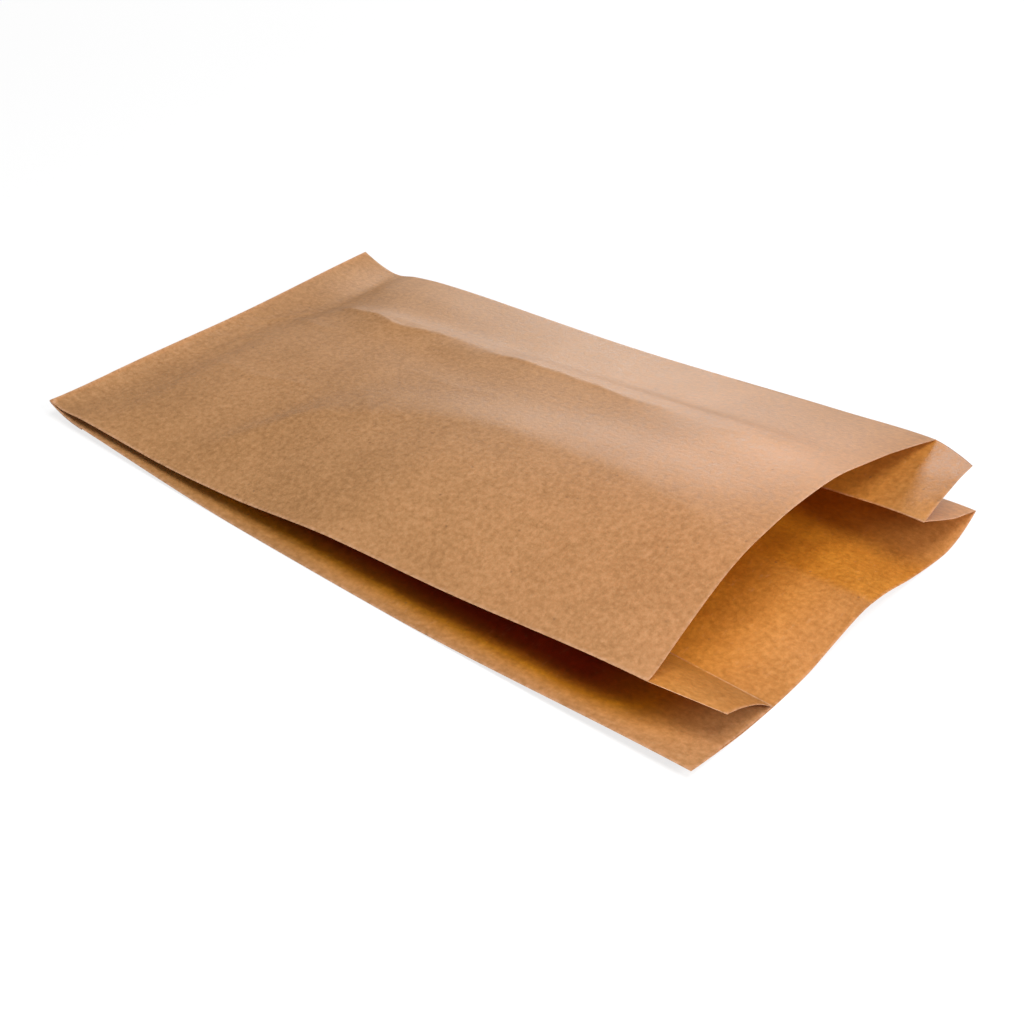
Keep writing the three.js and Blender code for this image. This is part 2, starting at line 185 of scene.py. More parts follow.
# Shallow dents: their heights, the share of the length that they need to reach them, and how fast they
# reach them from a side fold. The gusset panels are shifted along the same waves, so that no two match.
FRONT_DENTS = 0.7
BACK_DENTS = 0.9
GUSSET_DENTS = 1.0
DENTS_FULL = 0.3
DENTS_EASE = 3
GUSSET_WAVE_SHIFT = 60

# How far in from an edge the painted shade of a pocket or of the inside reaches its warmer tone, then its
# darkest
POCKET_SHADE = 11
POCKET_DEEP_SHADE = (6, 19)
INSIDE_SHADE = 60
INSIDE_DEEP_SHADE = (60, 200)

# The painted shade of the inside at the edge of the mouth, and how much of the rest it has already beside
# the seam
MOUTH_SHADE = 0.35
SEAM_SHADE = 0.6
SEAM_SHADE_SPAN = (104, 110, 135, 160)

# Where the near corner of the closed end lies in the CAD's frame
CORNER_PLACE = np.array((-160.7, -91.0508, 0.21808))

# Millimetres in a metre, and the angle from which a fold in the mesh is shaded sharp
PER_METRE = 1000
SHARP_ANGLE = math.radians(32)


def mix(a, b, share):
    return a + (b - a) * share


def clamp(value):
    return np.clip(value, 0, 1)


def smooth(value):
    return clamp(value) ** 2 * (3 - 2 * clamp(value))


def bell(distance, width):
    return np.exp(-((distance / width) ** 2))


def between(value, start, end):
    """0 up to the start, 1 from the end, and a smooth step between them."""
    return smooth((value - start) / (end - start))


def past_share(x, start):
    return between(x / BAG_LENGTH, start, 1)


def within(place, start, full, fading, gone):
    """0 up to the start, 1 from full to fading, and 0 again once gone."""
    return between(place, start, full) * (1 - between(place, fading, gone))


def through(points, place):
    """Height of a curve through (place, height) points, with no overshoot between them."""
    steps = [(q[1] - p[1]) / (q[0] - p[0]) for p, q in zip(points, points[1:])]

    def slope(k):
        if k in (0, len(steps)) or steps[k - 1] * steps[k] <= 0:
            return 0
        return 2 * steps[k - 1] * steps[k] / (steps[k - 1] + steps[k])

    following = next((k for k, p in enumerate(points) if p[0] >= place), None)
    if following == 0:
        return points[0][1]
    if following is None:
        return points[-1][1]
    (x0, y0), (x1, y1) = points[following - 1], points[following]
    w, s = x1 - x0, (place - x0) / (x1 - x0)
    start = (1 + 2 * s) * (1 - s) ** 2 * y0 + s * (1 - s) ** 2 * w * slope(following - 1)
    return start + s ** 2 * (3 - 2 * s) * y1 - s ** 2 * (1 - s) * w * slope(following)


def through_all(points, places):
    return np.array([through(points, place) for place in places])


def strip_border(side):
    """How far the strip at the closed end reaches along the bag, at each share of its width."""
    return END_STRIP * through_all(END_STRIP_SHARES, side)


def bend(x, y):
    """How far the whole stack of layers is bent up off the surface."""
    side = clamp(y / BAG_WIDTH)
    curve = mix(END_STRIP_NEAR_CURVE, END_STRIP_CURVE, between(side, *END_STRIP_CURVE_SPAN))
    end = END_LIFT * through_all(END_LIFT_SHARES, side) * clamp(1 - x / strip_border(side)) ** curve
    near_side = clamp(1 - y / GUSSET_DEPTH) ** 2
    tail = (TAIL_LIFT + TAIL_NEAR_LIFT * near_side) * (1 - smooth(x / (TAIL_END * BAG_LENGTH)))
    corner = MOUTH_LIFT * near_side * past_share(x, MOUTH_LIFT_START)
    return end + tail + corner


def back_rise(x, y):
    """How far the back panel rises near the mouth: a ridge along its seam and a curled far corner."""
    foot = smooth((y - GUSSET_DEPTH) / LIP_RIDGE_WIDTH)
    ridge = LIP_RIDGE_HEIGHT * bell(y - LIP_RIDGE_PLACE, LIP_RIDGE_WIDTH) * foot
    curl = LIP_CURL_HEIGHT * clamp(1 - (BAG_WIDTH - y - LIP_CURL_INSET) / LIP_CURL_WIDTH) ** 2
    return ridge * past_share(x, LIP_RIDGE_START) + curl * past_share(x, LIP_CURL_START)


def front_rise(x, share):
    """How the front panel stands over the straight line between its two side folds."""
    opened = clamp(x / LIP_START)
    arch = ARCH_RISE * opened * np.sin(math.pi * share ** ARCH_LEAN) * (share / (share + ARCH_EASE))
    from_print = share * BAG_WIDTH - PRINT_PLACE + PRINT_DRIFT * smooth(2 * opened - 1)
    print_width = np.where(from_print < 0, PRINT_NEAR_WIDTH, PRINT_FAR_WIDTH)
    printed = PRINT_RISE * bell(from_print, print_width) * within(opened, *PRINT_SPAN)
    from_crown = (share - through(CROWN_PLACES, opened)) * BAG_WIDTH
    crown = CROWN_RISE * bell(from_crown, CROWN_WIDTH) * within(opened, *CROWN_SPAN)
    sag = FRONT_SAG * np.sin(math.pi * share) ** 2 * within(opened, *SAG_SPAN)
    return arch + printed + crown - sag


def crease_rise(x, y):
    """The sharp little ridges that the paper keeps where it was bent before."""
    total = np.zeros_like(y)
    for path in LONG_CREASES:
        along, place, height = np.array(path).T
        if along[0] < x < along[-1]:
            distance = np.abs(y - np.interp(x, along, place)) / LONG_CREASE_WIDTH
            total += np.interp(x, along, height) * np.exp(-distance)
    for path in CROSS_CREASES:
        along, place, height = np.array(path).T
        distance = np.abs(x - np.interp(y, along, place)) / CROSS_CREASE_WIDTH
        total += np.interp(y, along, height, 0, 0) * np.exp(-distance)
    return total


def soft_rise(x, y):
    """The soft ridges, and the shoulder where the panel swells up past the strip at the closed end."""
    total = np.zeros_like(y)
    for near_width, far_width, path in SOFT_RIDGES:
        along, place, height = np.array(path).T
        distance = y - np.interp(x, along, place)
        width = np.where(distance < 0, near_width, far_width)
        total += np.interp(x, along, height, 0, 0) * bell(distance, width)
    border = strip_border(clamp(y / BAG_WIDTH))
    fading = 1 - between(x, *SHOULDER_SPAN)
    return total + SHOULDER_RISE * smooth((x - border) / SHOULDER_WIDTH) * fading


def make_waves(seed, count, shortest, longest):
    """Directions, wavelengths and phases of seeded waves that add up to soft, uneven dents."""
    chance = np.random.default_rng(seed)
    turn = chance.uniform(0, 2 * math.pi, count)
    wavelength = np.exp(chance.uniform(math.log(shortest), math.log(longest), count))
    return turn, wavelength, chance.uniform(0, 2 * math.pi, count)


def dents(waves, x, y):
    """Uneven height from -1 to 1, longer waves deeper."""
    turn, wavelength, phase = waves
    across = (x * np.cos(turn)[:, None] + np.outer(np.sin(turn), y)) * (2 * math.pi / wavelength)[:, None]
    depth = wavelength / wavelength.sum()
    return depth @ np.sin(across + phase[:, None])


FRONT_WAVES = make_waves(seed=11, count=26, shortest=24, longest=90)
BACK_WAVES = make_waves(seed=23, count=26, shortest=10, longest=45)
GUSSET_WAVES = make_waves(seed=37, count=20, shortest=12, longest=50)


def toward(start, end, distance):
    start, end = np.asarray(start, float), np.asarray(end, float)
    return start + (end - start) * distance / np.linalg.norm(end - start)


def folds_at(x):
    """The six folds at one station, as (y, height over the bent stack), in order round the bag."""
    u = x / BAG_LENGTH
    opened = clamp(x / LIP_START)
    far_side = BAG_WIDTH - LIP_CURL_INSET * past_share(x, LIP_CURL_START)
    crease_in = FAR_CREASE_SHIFT * opened - FAR_CREASE_RETURN * past_share(x, CREASE_RETURN_START)
    far_crease = np.array((
        BAG_WIDTH - GUSSET_DEPTH + crease_in,
        mix(CREASE_LEVEL, FAR_CREASE_HEIGHT, through(FAR_CREASE_RISE, u)),
    ))
    far_top = np.array((
        BAG_WIDTH + FAR_FOLD_OVERHANG * opened,
        mix(TOP_LEVEL, FAR_FOLD_HEIGHT, through(FAR_FOLD_RISE, u)),
    ))
    near_top = np.array((
        NEAR_FOLD_INSET * opened,
        mix(TOP_LEVEL, NEAR_FOLD_HEIGHT, through(NEAR_FOLD_RISE, u)),
    ))
    near_crease = np.array((GUSSET_DEPTH, CREASE_LEVEL))
    past_lip = clamp((x - LIP_START) / LIP)
    far_top = toward(far_top, far_crease, FAR_SLANT_CUT * past_lip ** FAR_SLANT_CURVE)
    far_top[1] += FAR_TIP_LIFT * past_lip ** FAR_SLANT_CURVE
    near_top = toward(near_top, near_crease, NEAR_SLANT_CUT * past_lip)
    near_bottom = np.array((-SIDE_BOW * 4 * u * (1 - u), FOLD_RADIUS))
    far_bottom = np.array((far_side, FOLD_RADIUS + back_rise(x, far_side)))
    return [near_bottom, far_bottom, far_crease, far_top, near_top, near_crease]


def round_fold(fold, previous, following):
    """The two ends of the panels that meet in a fold, half a layer to each side of it."""
    back = toward((0, 0), previous - fold, 1)
    ahead = toward((0, 0), following - fold, 1)
    middle = toward((0, 0), back + ahead, 1)
    cosine = middle @ back
    sideways = math.hypot(FOLD_RADIUS, FOLD_RADIUS * math.sqrt(max(0, 1 - cosine ** 2)))
    across = np.array((-middle[1], middle[0])) * sideways
    centre = fold + middle * FOLD_RADIUS * cosine
    return centre + across, centre - across


# Panels in order round the bag, each starting at its own fold, and how far each gusset panel bows
PANEL_COUNT = 6
BACK, FAR_LOWER, FAR_UPPER, FRONT, NEAR_UPPER, NEAR_LOWER = range(PANEL_COUNT)
GUSSET_BOWS = {
    FAR_LOWER: -FAR_LOWER_SAG, FAR_UPPER: FAR_UPPER_BOW, NEAR_UPPER: NEAR_UPPER_BOW, NEAR_LOWER: 0,
}

# Places of the lengthways mesh lines across a gusset panel and across the sides of a wide panel
GUSSET_COUNT = 16
MIDDLE_COUNT = 74
BESIDE_CREASE = 0.985
GUSSET_LINES = [(k + 1) / (GUSSET_COUNT + 1) for k in range(GUSSET_COUNT)]
SIDE_LINES = [s * GUSSET_SHARE for s in GUSSET_LINES + [BESIDE_CREASE]]
SEAM_LINES = [SEAM_OUTER_EDGE, SEAM_OUTER_EDGE + EDGE_STEP, SEAM_INNER_EDGE, SEAM_INNER_EDGE + EDGE_STEP]


def middle_lines(extra):
    """Lines between the two gussets, with the extra ones in place of as many of the even ones."""
    count = MIDDLE_COUNT - len(extra)
    even = [mix(GUSSET_SHARE, 1 - GUSSET_SHARE, (k + 1) / (count + 1)) for k in range(count)]
    return sorted(even + list(extra))


def panel_lines(middle):
    far = [1 - s for s in reversed(SIDE_LINES)]
    return np.array([*SIDE_LINES, GUSSET_SHARE, *middle, 1 - GUSSET_SHARE, *far])


LINES = [np.array(GUSSET_LINES)] * PANEL_COUNT
LINES[BACK] = panel_lines(middle_lines(SEAM_LINES))
LINES[FRONT] = 1 - panel_lines(middle_lines([]))[::-1]

# Columns of the mesh round the bag: the fold's tip, the panel's start, its lines, its end
PANEL = np.concatenate([np.full(len(lines) + 3, k) for k, lines in enumerate(LINES)])
SHARE = np.concatenate([np.array([-1, 0, *lines, 1]) for lines in LINES])
WIDE = (PANEL == BACK) | (PANEL == FRONT)
START = [int(np.argmax(PANEL == k)) for k in range(PANEL_COUNT)]
COUNT = len(PANEL)
NOSE_COUNT = START[FAR_LOWER] - START[BACK] + 1

# Stretches along the bag, as (end, number of cross-sections in it), finer near both ends
FINE_END = 60
STRETCHES = (
    (SEAL_LENGTH, 1), (FLAP_LENGTH, 12), (FLAP_LENGTH + PAPER, 1), (FINE_END, 24),
    (LIP_START, 104), (BAG_LENGTH, 14),
)


def stations():
    """The x of every cross-section, from the closed end to the mouth."""
    places = [0.0]
    for end, steps in STRETCHES:
        start = places[-1]
        places += [mix(start, end, (k + 1) / steps) for k in range(steps)]
    return places


PLACES = stations()


def section_at(x):
    """One cross-section: y and z of the sheet's middle line, once round the bag."""
    folds = folds_at(x)
    ends = [round_fold(fold, folds[k - 1], folds[(k + 1) % PANEL_COUNT]) for k, fold in enumerate(folds)]
    far_end_rise = back_rise(x, folds[FAR_LOWER][0])
    bow = past_share(x, GUSSET_BOW_START)
    room = smooth(x / BAG_LENGTH / DENTS_FULL)
    ys, zs = [], []
    for panel, lines in enumerate(LINES):
        start, end = ends[panel][1], ends[(panel + 1) % PANEL_COUNT][0]
        y, z = mix(start[0], end[0], lines), mix(start[1], end[1], lines)
        ease = np.sin(math.pi * lines)
        if panel == BACK:
            z = z + back_rise(x, y) - far_end_rise * lines
            z = z + BACK_DENTS * dents(BACK_WAVES, x, y) * ease * past_share(x, LIP_RIDGE_START)
        elif panel == FRONT:
            full = np.minimum(1, DENTS_EASE * ease)
            z = z + front_rise(x, 1 - lines)
            z = z + FRONT_DENTS * room * dents(FRONT_WAVES, x, y) * full
            z = z + CREASE_SCALE * crease_rise(x, y) + soft_rise(x, y) * full
        else:
            shifted = y + GUSSET_WAVE_SHIFT * panel
            z = z + GUSSET_BOWS[panel] * bow * ease
            z = z + GUSSET_DENTS * room * bow * dents(GUSSET_WAVES, x, shifted) * ease
        ys.append(np.array([folds[panel][0], start[0], *y, end[0]]))
        zs.append(np.array([folds[panel][1], start[1], *z, end[1]]))
    y, z = np.concatenate(ys), np.concatenate(zs)
    return y, z + bend(x, y)


def faces_at(x):
    """Both faces of the sheet at one station: its middle line moved out and in by half its thickness."""
    y, z = section_at(x)
    edge = np.stack([np.roll(z, -1) - z, y - np.roll(y, -1)], axis=1)
    edge /= np.linalg.norm(edge, axis=1)[:, None]

    # Past the front panel's cut edge its columns are left out of their neighbours' normals
    kept = np.ones(COUNT, bool) if x <= LIP_START else PANEL != FRONT
    normal = edge * kept[:, None] + (np.roll(edge, 1, axis=0) * np.roll(kept, 1)[:, None])
    length = np.linalg.norm(normal, axis=1)
    normal /= np.where(length > 0, length, 1)[:, None]

    # The seam is two layers thick, past it the panel lies one lower up to the tip of the far fold, which
    # is halfway, and the end that is folded under has more layers
    on_back = (PANEL == BACK) & (SHARE >= 0)
    outer_drop = np.where(on_back & (SHARE > SEAM_OUTER_EDGE + EDGE_STEP / 2), PAPER, 0)
    inner_drop = np.where(on_back & (SHARE > SEAM_INNER_EDGE + EDGE_STEP / 2), PAPER, 0)
    tip = (PANEL == FAR_LOWER) & (SHARE < 0)
    outer_drop = np.where(tip, PAPER / 2, outer_drop)
    inner_drop = np.where(tip, PAPER / 2, inner_drop)
    if x <= FLAP_LENGTH:
        outer_drop = outer_drop + np.where(on_back, FLAP_LAYERS * PAPER, 0)
    xs = np.full(COUNT, x)
    out_y, out_z = normal[:, 0] * PAPER / 2, normal[:, 1] * PAPER / 2
    outer = np.stack([xs, y + out_y, z + out_z - outer_drop], axis=1)
    inner = np.stack([xs, y - out_y, z - out_z - inner_drop], axis=1)
    return outer, inner


def nose_line(end):
    """The line along which the closed end rounds off, halfway between its lower and its upper layer."""
    pairs = [(end[START[BACK] + k], end[START[NEAR_UPPER] - k]) for k in range(NOSE_COUNT)]
    return [(-END_NOSE, (low[1] + high[1]) / 2, (low[2] + high[2]) / 2) for low, high in pairs]


def shell_faces():
    """Faces of the closed shell. Its points are the outer rows, the inner rows, then the nose line."""
    back, far_lower, far_upper, front, near_upper, near_lower = START
    last = len(PLACES) - 1
    lip_row = next(i for i, x in enumerate(PLACES) if x > LIP_START - PAPER)
    corners = len(PLACES) * COUNT
    faces = []

    def outer(i, j):
        return i * COUNT + j % COUNT

    def inner(i, j):
        return corners + i * COUNT + j % COUNT

    def nose(place):
        return 2 * corners + (place if place < NOSE_COUNT else 2 * NOSE_COUNT - 1 - place)

    def quad(*ring):
        ring = [v for k, v in enumerate(ring) if v != ring[k - 1]]
        if len(ring) > 2:
            faces.append(ring)

    def run(start, end):
        step = 1 if end > start else -1
        return list(range(start, end + step, step))

    def wall(face, lower, upper):
        for k in range(len(lower) - 1):
            quad(face(1, lower[k]), face(1, lower[k + 1]), face(1, upper[k + 1]), face(1, upper[k]))

    # The two sides of the sheet, and its cut edge round the mouth
    in_front = [front <= j < near_upper for j in range(COUNT)]
    for i in range(1, last):
        for j in range(COUNT):
            if i >= lip_row and in_front[j]:
                continue
            quad(outer(i, j), outer(i, j + 1), outer(i + 1, j + 1), outer(i + 1, j))
            quad(inner(i, j), inner(i + 1, j), inner(i + 1, j + 1), inner(i, j + 1))
    for j in range(COUNT):
        row = lip_row if in_front[j] else last
        quad(outer(row, j), outer(row, j + 1), inner(row, j + 1), inner(row, j))
    for i in range(lip_row, last):
        quad(outer(i + 1, front), outer(i, front), inner(i, front), inner(i + 1, front))
        quad(outer(i, near_upper), outer(i + 1, near_upper), inner(i + 1, near_upper), inner(i, near_upper))

    # The closed end: its outside, then the walls between its layers
    stack = run(back, far_lower) + run(front, near_upper)
    for k, column in enumerate(stack):
        following = (k + 1) % len(stack)
        quad(outer(0, column), outer(0, stack[following]), outer(1, stack[following]), outer(1, column))
        quad(nose(k), nose(following), outer(0, stack[following]), outer(0, column))
    size = far_upper - far_lower
    wall(outer, run(COUNT, near_lower), run(near_upper, near_lower))
    wall(outer, run(far_upper, far_lower), run(far_upper, front))
    wall(inner, run(back, back + size), run(COUNT, near_lower))
    wall(inner, run(near_upper, near_lower), run(near_upper, near_upper - size))
    wall(inner, run(back + size, far_lower - size), run(near_upper - size, front + size))
    wall(inner, run(far_lower - size, far_lower), run(far_upper, far_lower))
    wall(inner, run(far_upper, front), run(front + size, front))
    quad(inner(1, near_lower), inner(1, back + size), inner(1, near_upper - size))
    quad(inner(1, far_lower - size), inner(1, far_upper), inner(1, front + size))
    return faces


def edge_distances():
    """How far each point of a face of the sheet is from a fold or a cut edge."""
    xs = np.array(PLACES)[:, None]
    to_fold = np.where(SHARE < 0, 0, np.minimum(SHARE, 1 - SHARE) * np.where(WIDE, BAG_WIDTH, GUSSET_DEPTH))
    to_cut = np.where(PANEL == FRONT, np.abs(LIP_START - xs), BAG_LENGTH - xs)
    return np.minimum(np.minimum(to_fold, to_cut), xs).ravel()


def painted_shade_tones():
    """How much painted shade the outer and the inner face get in a pocket or inside, from 0, open, to 2,
    deepest.
    """
    into = BAG_LENGTH - np.array(PLACES)[:, None]
    share = np.maximum(SHARE, 0)
    from_rim = np.where((PANEL == FAR_UPPER) | (PANEL == NEAR_LOWER), 1 - share, share) * GUSSET_DEPTH
    pocket_shade = smooth(from_rim / POCKET_SHADE) + between(from_rim, *POCKET_DEEP_SHADE)
    outer_shade = np.where(WIDE, 0, pocket_shade * smooth(into / INSIDE_SHADE))
    seam_shade_mask = np.where(PANEL == BACK, within(SHARE * BAG_WIDTH, *SEAM_SHADE_SPAN), 0)
    inner_shade = mix(mix(MOUTH_SHADE, 1, smooth(into / INSIDE_SHADE)), 1, SEAM_SHADE * seam_shade_mask)
    return outer_shade.ravel(), (inner_shade + between(into, *INSIDE_DEEP_SHADE)).ravel()


def bag_mesh():
    """The bag as one closed shell, with each point's distance from an edge and the painted shade on it."""
    rows = [faces_at(x) for x in PLACES]
    outer, inner = [np.concatenate([row[side] for row in rows]) for side in (0, 1)]
    points = np.concatenate([outer, inner, nose_line(rows[0][0])])
    on_nose = np.zeros(NOSE_COUNT)
    to_edge = edge_distances()
    edge = np.concatenate([to_edge, to_edge, on_nose])
    painted_shade = np.concatenate([*painted_shade_tones(), on_nose])
    faces = shell_faces()
    used = np.unique(np.concatenate([np.array(face) for face in faces]))
    renumber = np.full(len(points), -1)
    renumber[used] = np.arange(len(used))
    faces = [[int(renumber[v]) for v in face] for face in faces]
    return (points[used] + CORNER_PLACE) / PER_METRE, faces, edge[used], painted_shade[used]


def add_object(name, data):
    made = bpy.data.objects.new(name, data)
    bpy.context.scene.collection.objects.link(made)
    return made


def empty_tree(owner):
    """The node tree of a material or world, with no nodes in it yet."""
    owner.use_nodes = True
    owner.node_tree.nodes.clear()
    return owner.node_tree


def add_node(tree, kind, inputs=None, **settings):
    """A shader node with its settings, its inputs set to values or linked to other nodes' outputs."""
    made = tree.nodes.new(kind)
    for name, value in settings.items():
        setattr(made, name, value)
    for name, value in (inputs or {}).items():
        if isinstance(value, bpy.types.NodeSocket):
            tree.links.new(value, made.inputs[name])
        else:
            made.inputs[name].default_value = value
    return made


# Colours of the paper: its pulp from dark to pale, light through it, and what lies on it
PULP_COLOURS = ((0.41, 0.2, 0.07, 1), (0.52, 0.265, 0.101, 1), (0.625, 0.332, 0.14, 1))
GLOW_COLOUR = (0.8, 0.34, 0.07, 1)
SPECK_COLOUR = (0.2, 0.1, 0.045, 1)
FIBRE_COLOUR = (0.74, 0.5, 0.31, 1)
# The pale colour along the folds and cut edges is partly wear and partly a painted highlight
WEAR_AND_HIGHLIGHT_COLOUR = (0.78, 0.53, 0.37, 1)

# Painted shade: colours that multiply the paper's own in a pocket or inside, in the deepest parts and on
# blotches
POCKET_SHADE_TINT = (1.2, 0.95, 0.1, 1)
DEEP_SHADE_TINT = (0.5, 0.12, 0.12, 1)
SHADE_BLOTCH_TINT = (0.72, 0.62, 0.5, 1)

# How strongly each effect shows, from 0 to 1
SPECK_SHARE = 0.55
FIBRE_SHARE = 0.1
GLOW_SHARE = 0.5
THROUGH_SHARE = 0.36
SPECULAR = 0.6

# Spans of a value and what it becomes over them, as (from low, from high, to low, to high)
TONE_SPAN = (0.58, 1.02, 0, 1)
BLOTCH_SPAN = (0.4, 0.62, 1, 0)
BLOTCH_SHADE_SPAN = (0.2, 0.9, 0.05, 0.55)
SPECK_SIZE_SPAN = (0.05, 0.16, 1, 0)
SPECK_FEW_SPAN = (0.86, 0.9, 0, 1)
FIBRE_SPAN = (0.62, 0.72, 0, 1)
WEAR_AND_HIGHLIGHT_WIDTH_SPAN = (0, 1.1, 1, 0)
WEAR_AND_HIGHLIGHT_SPAN = (0.35, 0.6, 0.1, 0.35)
ROUGHNESS_SPAN = (0.3, 0.7, 0.44, 0.56)


def kraft_paper():
    """Uncoated brown kraft: cloudy pulp, fibres along and across the web, dark specks, folds pale from wear
    and a painted highlight, and painted shade in its pockets and inside.
    """
    material = bpy.data.materials.new("kraft_paper")
    tree = empty_tree(material)
    place = add_node(tree, "ShaderNodeTexCoord").outputs["Object"]

    def noise(scale, detail, roughness=0.5, stretch=(1, 1, 1), turn=0.0):
        moved = add_node(tree, "ShaderNodeMapping", {
            "Vector": place, "Scale": stretch, "Rotation": (0, 0, turn),
        })
        return add_node(tree, "ShaderNodeTexNoise", {
            "Vector": moved.outputs["Vector"], "Scale": scale, "Detail": detail, "Roughness": roughness,
        }).outputs["Fac"]

    def attribute(name):
        return add_node(tree, "ShaderNodeAttribute", attribute_name=name).outputs["Fac"]

    def math_node(operation, a, b):
        return add_node(tree, "ShaderNodeMath", {0: a, 1: b}, operation=operation).outputs[0]

    def weighted(first, *others):
        """The sum of a few values, each given with its weight."""
        total = math_node("MULTIPLY", *first)
        for pair in others:
            total = math_node("ADD", total, math_node("MULTIPLY", *pair))
        return total

    def span(value, low, high, out_low, out_high):
        return add_node(tree, "ShaderNodeMapRange", {
            "Value": value, "From Min": low, "From Max": high, "To Min": out_low, "To Max": out_high,
        }).outputs["Result"]

    def blend(share, a, b, kind="MIX"):
        # The node's colour sockets share their names with its other types, so they go by number
        made = add_node(tree, "ShaderNodeMix", data_type="RGBA", blend_type=kind)
        for index, value in ((0, share), (6, a), (7, b)):
            if isinstance(value, bpy.types.NodeSocket):
                tree.links.new(value, made.inputs[index])
            else:
                made.inputs[index].default_value = value
        return made.outputs[2]

    # The pulp's own colour
    cloud = noise(scale=20, detail=3)
    mottle = noise(scale=520, detail=3, roughness=0.6)
    grain = noise(scale=1100, detail=3, roughness=0.6)
    along = noise(scale=520, detail=3, roughness=0.6, stretch=(0.45, 1.3, 1.3), turn=0.2)
    across = noise(scale=480, detail=3, roughness=0.6, stretch=(1.3, 0.4, 1.3), turn=-0.5)
    tone = weighted((cloud, 0.45), (mottle, 0.9), (along, 0.15), (across, 0.1))
    ramp = add_node(tree, "ShaderNodeValToRGB", {"Fac": span(tone, *TONE_SPAN)})
    while len(ramp.color_ramp.elements) < len(PULP_COLOURS):
        ramp.color_ramp.elements.new(0.5)
    for k, element in enumerate(ramp.color_ramp.elements):
        element.position = k / (len(PULP_COLOURS) - 1)
        element.color = PULP_COLOURS[k]

    # Painted shade: warmer and darker in the pockets and inside, made uneven by blotches
    painted_shade = attribute("painted_shade")
    colour = blend(span(painted_shade, 0, 1, 0, 1), ramp.outputs["Color"], POCKET_SHADE_TINT, "MULTIPLY")
    colour = blend(span(painted_shade, 1, 2, 0, 1), colour, DEEP_SHADE_TINT, "MULTIPLY")
    shade_blotch = span(noise(scale=60, detail=5, roughness=0.62), *BLOTCH_SPAN)
    shade_blotch = math_node("MULTIPLY", span(painted_shade, *BLOTCH_SHADE_SPAN), shade_blotch)
    colour = blend(shade_blotch, colour, SHADE_BLOTCH_TINT, "MULTIPLY")

    # Dark specks, pale fibres, and paler paper along the folds and cut edges, partly wear and partly a
    # painted highlight
    specks = add_node(tree, "ShaderNodeTexVoronoi", {"Vector": place, "Scale": 230, "Randomness": 1})
    small = span(specks.outputs["Distance"], *SPECK_SIZE_SPAN)
    chosen = add_node(tree, "ShaderNodeSeparateColor", {"Color": specks.outputs["Color"]}).outputs["Red"]
    speck = math_node("MULTIPLY", math_node("MULTIPLY", small, span(chosen, *SPECK_FEW_SPAN)), SPECK_SHARE)
    colour = blend(speck, colour, SPECK_COLOUR)
    colour = blend(math_node("MULTIPLY", span(across, *FIBRE_SPAN), FIBRE_SHARE), colour, FIBRE_COLOUR)
    wear_and_highlight = math_node("MULTIPLY", span(attribute("edge"), *WEAR_AND_HIGHLIGHT_WIDTH_SPAN), span(mottle, *WEAR_AND_HIGHLIGHT_SPAN))
    colour = blend(wear_and_highlight, colour, WEAR_AND_HIGHLIGHT_COLOUR)

    bump = add_node(tree, "ShaderNodeBump", {
        "Strength": 0.45, "Distance": 0.0004, "Height": weighted((mottle, 0.7), (grain, 0.25)),
    })
    fine = add_node(tree, "ShaderNodeBump", {
        "Strength": 0.3, "Distance": 0.0002, "Normal": bump.outputs["Normal"],
        "Height": math_node("ADD", along, across),
    })
    paper = add_node(tree, "ShaderNodeBsdfPrincipled", {
        "Base Color": colour, "Roughness": span(mottle, *ROUGHNESS_SPAN),
        "Specular IOR Level": SPECULAR, "Normal": fine.outputs["Normal"],
    })
    glow = blend(GLOW_SHARE, colour, GLOW_COLOUR)
    lit_through = add_node(tree, "ShaderNodeBsdfTranslucent", {"Color": glow})
    mixed = add_node(tree, "ShaderNodeMixShader", {
        "Fac": THROUGH_SHARE, 1: paper.outputs["BSDF"], 2: lit_through.outputs["BSDF"],
    })
    add_node(tree, "ShaderNodeOutputMaterial", {"Surface": mixed.outputs["Shader"]})
    return material


def make_bag():
    points, faces, edge, painted_shade = bag_mesh()
    mesh = bpy.data.meshes.new("bread_bag")
    mesh.from_pydata(points.tolist(), [], faces)
    # Each point's painted shade goes to the material as an attribute, beside its distance from an edge
    for name, values in (("edge", edge), ("painted_shade", painted_shade)):
        layer = mesh.attributes.new(name, "FLOAT", "POINT")
        layer.data.foreach_set("value", values.astype(np.float32))
    mesh.shade_smooth()
    mesh.set_sharp_from_angle(angle=SHARP_ANGLE)
    mesh.materials.append(kraft_paper())
    mesh.update()
    piece = add_object("bread_bag", mesh)
    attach(piece, "root")
    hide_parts("bag")


WHITE = (1, 1, 1, 1)


def shown_white(tree, shader, share):
    """The shader's output, blended towards white where the camera, a gloss or clear ray sees it."""
    rays = add_node(tree, "ShaderNodeLightPath").outputs
    seen = rays["Is Camera Ray"]
    for name in ("Is Glossy Ray", "Is Transmission Ray"):
        seen = add_node(tree, "ShaderNodeMath", {0: seen, 1: rays[name]}, operation="MAXIMUM").outputs[0]
    share = add_node(tree, "ShaderNodeMath", {0: seen, 1: share}, operation="MULTIPLY").outputs[0]
    white = add_node(tree, "ShaderNodeEmission", {"Color": WHITE, "Strength": 1.0})
    return add_node(tree, "ShaderNodeMixShader", {"Fac": share, 1: shader, 2: white.outputs[0]}).outputs[0]


# The floor is flat round the bag and rises far away, as (radius, height) in metres
FLOOR_RINGS = ((4, 0), (6, 0.15), (8, 0.6), (10, 1.6))
FLOOR_SIDES = 64
FLOOR_COLOUR = (0.9, 0.9, 0.9, 1)

# Over which distances from the bag the floor blends to plain white, and its share of white there
WHITE_SPAN = {"From Min": 0.3, "From Max": 1.2, "To Min": 0.75, "To Max": 1}


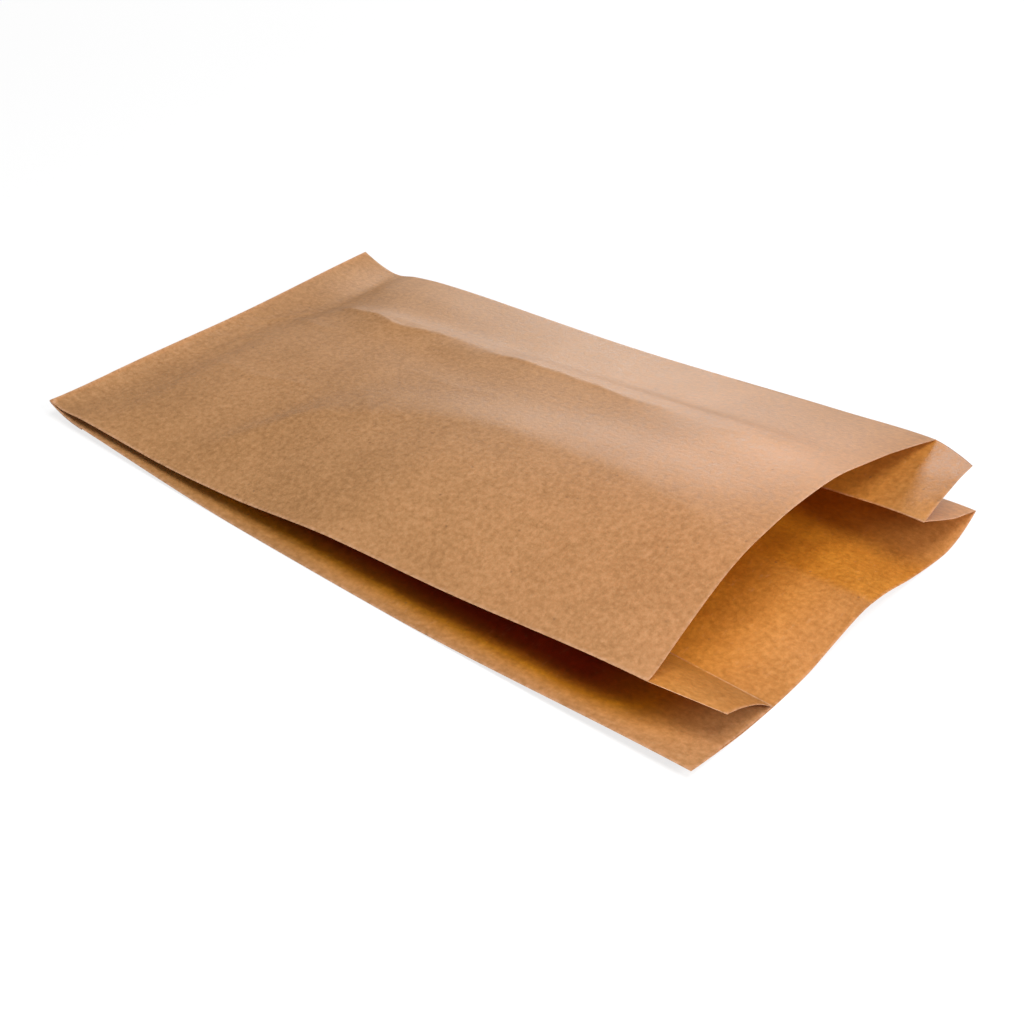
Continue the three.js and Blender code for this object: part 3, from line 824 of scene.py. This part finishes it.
def floor_paint():
    """Pale and matt, so that it keeps the bag's shadow, and white further away."""
    material = bpy.data.materials.new("pale_floor")
    tree = empty_tree(material)
    plain = add_node(tree, "ShaderNodeBsdfDiffuse", {"Color": FLOOR_COLOUR})
    place = add_node(tree, "ShaderNodeTexCoord").outputs["Object"]
    distance = add_node(tree, "ShaderNodeVectorMath", {0: place}, operation="LENGTH").outputs["Value"]
    share = add_node(tree, "ShaderNodeMapRange", {"Value": distance, **WHITE_SPAN}).outputs["Result"]
    add_node(tree, "ShaderNodeOutputMaterial", {"Surface": shown_white(tree, plain.outputs[0], share)})
    return material


def make_floor():
    turns = [2 * math.pi * k / FLOOR_SIDES for k in range(FLOOR_SIDES)]
    points = [(r * math.cos(t), r * math.sin(t), z) for r, z in FLOOR_RINGS for t in turns]
    faces = [tuple(range(FLOOR_SIDES))]
    for ring in range(len(FLOOR_RINGS) - 1):
        for k in range(FLOOR_SIDES):
            here, following = ring * FLOOR_SIDES + k, ring * FLOOR_SIDES + (k + 1) % FLOOR_SIDES
            faces.append((here, here + FLOOR_SIDES, following + FLOOR_SIDES, following))
    mesh = bpy.data.meshes.new("floor")
    mesh.from_pydata(points, [], faces)
    mesh.materials.append(floor_paint())
    add_object("floor", mesh)


# Round lamps that face the bag, as (name, place, diameter, power), in metres and watts
LAMP_TARGET = (0.05, 0, 0)
LAMPS = (
    ("key_softbox", (0.5, -0.15, 1.2), 0.7, 14.8),
    ("mouth_softbox", (1.15, -0.05, 0.7), 0.6, 11.5),
    ("front_softbox", (0.4, -1.0, 0.8), 0.7, 2.5),
    ("back_softbox", (-0.75, 1.2, 0.45), 0.6, 8),
)
AMBIENT_STRENGTH = 0.24


def make_lamp(name, place, diameter, power):
    """A round lamp at its place, turned to shine on the target."""
    lamp = bpy.data.lights.new(name, "AREA")
    lamp.shape = "DISK"
    lamp.size = diameter
    lamp.energy = power
    holder = add_object(name, lamp)
    holder.location = place
    away = np.array(place) - np.array(LAMP_TARGET)
    flat = math.hypot(away[0], away[1])
    holder.rotation_euler = (math.atan2(flat, away[2]), 0, math.atan2(away[0], -away[1]))


def make_world():
    world = bpy.data.worlds.new("studio")
    tree = empty_tree(world)
    ambient = add_node(tree, "ShaderNodeBackground", {"Color": WHITE, "Strength": AMBIENT_STRENGTH})
    add_node(tree, "ShaderNodeOutputWorld", {"Surface": ambient.outputs[0]})
    bpy.context.scene.world = world


def make_camera():
    camera = bpy.data.cameras.new("camera")
    camera.lens = CAMERA_LENS
    camera.sensor_width = SENSOR_WIDTH
    camera.clip_start = CLIP_START
    holder = add_object("camera", camera)
    holder.location = CAMERA_PLACE
    holder.rotation_euler = (math.pi / 2 - CAMERA_PITCH, 0, CAMERA_AZIMUTH)
    bpy.context.scene.camera = holder


make_camera()
make_bag()
make_floor()
for lamp_values in LAMPS:
    make_lamp(*lamp_values)
make_world()
bpy.context.scene.view_settings.view_transform = "Standard"
